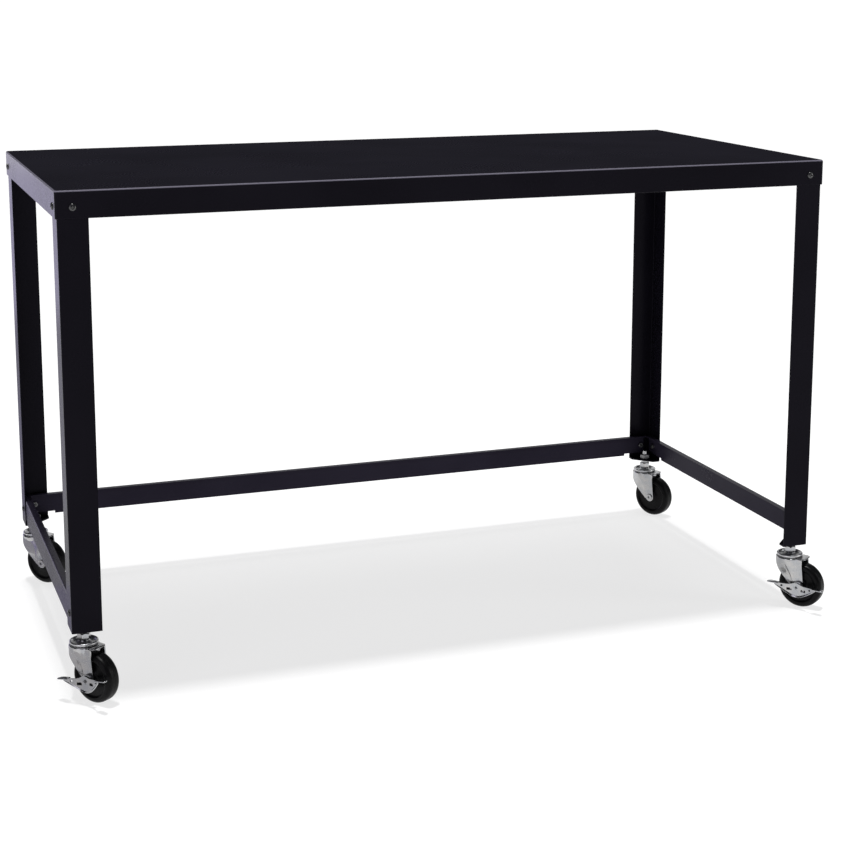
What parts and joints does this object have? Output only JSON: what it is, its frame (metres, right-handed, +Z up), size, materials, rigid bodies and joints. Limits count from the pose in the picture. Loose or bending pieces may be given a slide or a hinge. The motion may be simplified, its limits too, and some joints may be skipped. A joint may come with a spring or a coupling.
{
  "type": "desk",
  "caption": "Rectangular sheet-metal desk: a skirted flat top on angle legs joined by low side and back rails, rolling on swivel casters, the front ones with foot brakes.",
  "frame": {"origin": "on the floor under the middle of the whole desk's bounding box, casters and levers included", "axes": "+X along the desk's width towards the user's right, +Y towards the back rail, away from the user, +Z up"},
  "size_m": [1.2573, 0.6402, 0.749],
  "materials": {
    "black_paint": "glossy black enamel on sheet steel",
    "bright_zinc": "bright zinc plating on stamped steel",
    "bearing_steel": "polished steel",
    "black_fastener": "black coated steel",
    "hard_rubber": "smooth hard rubber, slightly glossy",
    "bushing_plastic": "plain moulded plastic"
  },
  "bodies": {
    "frame": {"top_pan": "black_paint", "top_stiffener": "black_paint", "left_side_rail": "black_paint", "right_side_rail": "black_paint", "back_rail": "black_paint", "front_left_leg": "black_paint", "front_left_caster_plate": "black_paint", "front_right_leg": "black_paint", "front_right_caster_plate": "black_paint", "rear_left_leg": "black_paint", "rear_left_caster_plate": "black_paint", "rear_right_leg": "black_paint", "rear_right_caster_plate": "black_paint", "top_screws": "black_fastener", "top_nuts": "bright_zinc", "rail_screws": "black_fastener", "rail_nuts": "bright_zinc", "caster_stems": "bright_zinc", "stem_nuts": "bright_zinc", "race_caps": "bright_zinc"},
    "front_left_caster": {"front_left_fork": "bright_zinc", "front_left_race_balls": "bearing_steel", "front_left_axle": "bright_zinc", "front_left_axle_washer": "bright_zinc"},
    "front_left_wheel": {"front_left_wheel": "hard_rubber", "front_left_wheel_bushing": "bushing_plastic"},
    "front_left_brake": {"front_left_brake_cam": "bright_zinc", "front_left_brake_lever": "bright_zinc"},
    "front_right_caster": {"front_right_fork": "bright_zinc", "front_right_race_balls": "bearing_steel", "front_right_axle": "bright_zinc", "front_right_axle_washer": "bright_zinc"},
    "front_right_wheel": {"front_right_wheel": "hard_rubber", "front_right_wheel_bushing": "bushing_plastic"},
    "front_right_brake": {"front_right_brake_cam": "bright_zinc", "front_right_brake_lever": "bright_zinc"},
    "rear_left_caster": {"rear_left_fork": "bright_zinc", "rear_left_race_balls": "bearing_steel", "rear_left_axle": "bright_zinc", "rear_left_axle_washer": "bright_zinc"},
    "rear_left_wheel": {"rear_left_wheel": "hard_rubber", "rear_left_wheel_bushing": "bushing_plastic"},
    "rear_right_caster": {"rear_right_fork": "bright_zinc", "rear_right_race_balls": "bearing_steel", "rear_right_axle": "bright_zinc", "rear_right_axle_washer": "bright_zinc"},
    "rear_right_wheel": {"rear_right_wheel": "hard_rubber", "rear_right_wheel_bushing": "bushing_plastic"}
  },
  "joints": [
    {"name": "front_left_swivel", "type": "hinge", "parent": "frame", "child": "front_left_caster", "pos_m": [-0.5886, -0.2441, 0.084], "axis": [0, 0, 1], "continuous": true},
    {"name": "front_left_wheel_spin", "type": "hinge", "parent": "front_left_caster", "child": "front_left_wheel", "pos_m": [-0.57508, -0.26271, 0.0375], "axis": [-0.809, -0.5878, 0], "continuous": true},
    {"name": "front_left_brake", "type": "hinge", "parent": "front_left_caster", "child": "front_left_brake", "pos_m": [-0.57508, -0.26271, 0.0375], "axis": [-0.809, -0.5878, 0], "range_deg": [-10, 0]},
    {"name": "front_right_swivel", "type": "hinge", "parent": "frame", "child": "front_right_caster", "pos_m": [0.5866, -0.2441, 0.084], "axis": [0, 0, 1], "continuous": true},
    {"name": "front_right_wheel_spin", "type": "hinge", "parent": "front_right_caster", "child": "front_right_wheel", "pos_m": [0.60012, -0.26271, 0.0375], "axis": [-0.809, -0.5878, 0], "continuous": true},
    {"name": "front_right_brake", "type": "hinge", "parent": "front_right_caster", "child": "front_right_brake", "pos_m": [0.60012, -0.26271, 0.0375], "axis": [-0.809, -0.5878, 0], "range_deg": [0, 10]},
    {"name": "rear_left_swivel", "type": "hinge", "parent": "frame", "child": "rear_left_caster", "pos_m": [-0.5886, 0.2961, 0.084], "axis": [0, 0, 1], "continuous": true},
    {"name": "rear_left_wheel_spin", "type": "hinge", "parent": "rear_left_caster", "child": "rear_left_wheel", "pos_m": [-0.57321, 0.27901, 0.0375], "axis": [-0.7431, -0.6691, 0], "continuous": true},
    {"name": "rear_right_swivel", "type": "hinge", "parent": "frame", "child": "rear_right_caster", "pos_m": [0.5866, 0.2961, 0.084], "axis": [0, 0, 1], "continuous": true},
    {"name": "rear_right_wheel_spin", "type": "hinge", "parent": "rear_right_caster", "child": "rear_right_wheel", "pos_m": [0.59775, 0.27598, 0.0375], "axis": [-0.8746, -0.4848, 0], "continuous": true}
  ]
}
